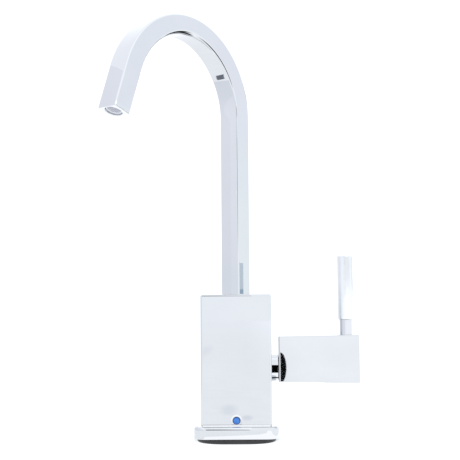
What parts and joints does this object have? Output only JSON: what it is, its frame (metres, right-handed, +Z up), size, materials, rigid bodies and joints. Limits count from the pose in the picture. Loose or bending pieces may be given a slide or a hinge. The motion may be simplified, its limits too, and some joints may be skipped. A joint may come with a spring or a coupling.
{
  "type": "drinking water filter tap",
  "caption": "Square-bodied chrome filter tap with a swivelling arched rectangular spout and a side quarter-turn valve worked by a block handle with an upright lever.",
  "frame": {"origin": "centre of the base on the worktop, under the gasket and on the axis of the worktop hole and of the spout's swivel", "axes": "+Z up along the body, the front of the body faces -Y and the handle is on the +X side"},
  "size_m": [0.1574, 0.1219, 0.2673],
  "materials": {
    "chrome": "bright mirror chrome plate",
    "brass": "turned, bare",
    "rubber": "moulded, satin",
    "acetal": "moulded, satin",
    "ceramic": "lapped",
    "steel": "plain stainless",
    "blue_plastic": "moulded, glossy"
  },
  "bodies": {
    "base": {"base_gasket": "rubber", "base_flange": "chrome", "base_insert": "brass", "inlet_o_ring": "rubber", "body": "chrome", "indicator_plug": "blue_plastic", "body_screw": "steel", "glide_ring": "acetal", "spout_screw": "steel", "cartridge_body": "brass", "cartridge_o_ring": "rubber", "seat_seal": "rubber", "fixed_disc": "ceramic", "collar": "chrome"},
    "spout": {"spout_tube": "chrome", "spout_nozzle": "chrome", "spout_spigot": "brass", "spout_o_ring_upper": "rubber", "spout_o_ring_lower": "rubber", "outlet_housing": "acetal", "flow_straightener": "acetal", "outlet_washer": "rubber"},
    "handle": {"spindle": "brass", "moving_disc": "ceramic", "spindle_o_ring": "rubber", "spindle_clip": "steel", "handle_block": "chrome", "handle_screw": "steel", "lever": "chrome"}
  },
  "joints": [
    {"name": "spout_swivel", "type": "hinge", "parent": "base", "child": "spout", "pos_m": [0, 0, 0.0936], "axis": [0, 0, 1], "continuous": true},
    {"name": "handle_turn", "type": "hinge", "parent": "base", "child": "handle", "pos_m": [0.027, 0, 0.0456], "axis": [1, 0, 0], "range_deg": [0, 90]}
  ]
}
